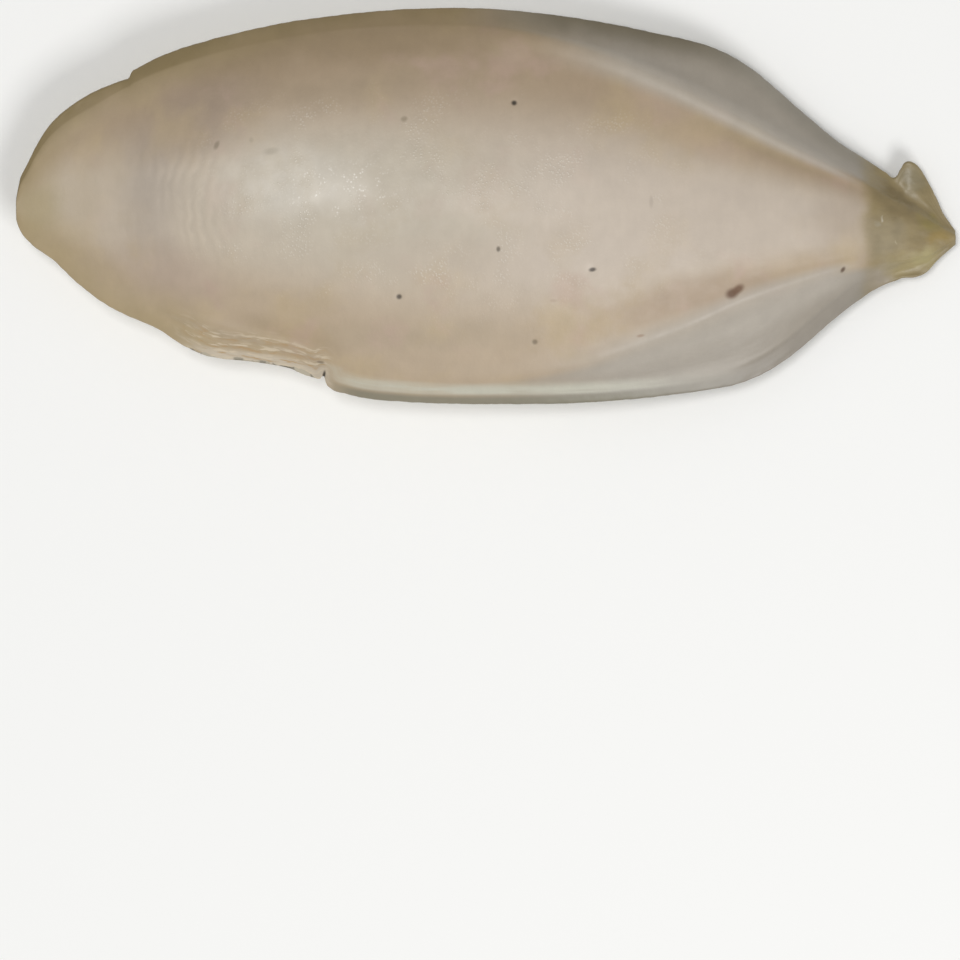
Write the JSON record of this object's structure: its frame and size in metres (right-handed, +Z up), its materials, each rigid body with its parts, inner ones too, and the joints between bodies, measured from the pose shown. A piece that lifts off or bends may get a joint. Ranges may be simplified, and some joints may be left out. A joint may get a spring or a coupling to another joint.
{
  "type": "cuttlebone",
  "caption": "Long oval cuttlebone with a domed hard back, thin winged rim and pointed tail, lying on its deep chalky belly.",
  "frame": {"origin": "on the surface it rests on, under the middle of its box", "axes": "+X along its length to the pointed tail, +Y across it, +Z up out of its back"},
  "size_m": [0.15, 0.0626, 0.019],
  "materials": {
    "aragonite_shell": "chalky, with a faint satin gloss on the back"
  },
  "bodies": {
    "root": {"cuttlebone": "aragonite_shell"}
  },
  "joints": []
}
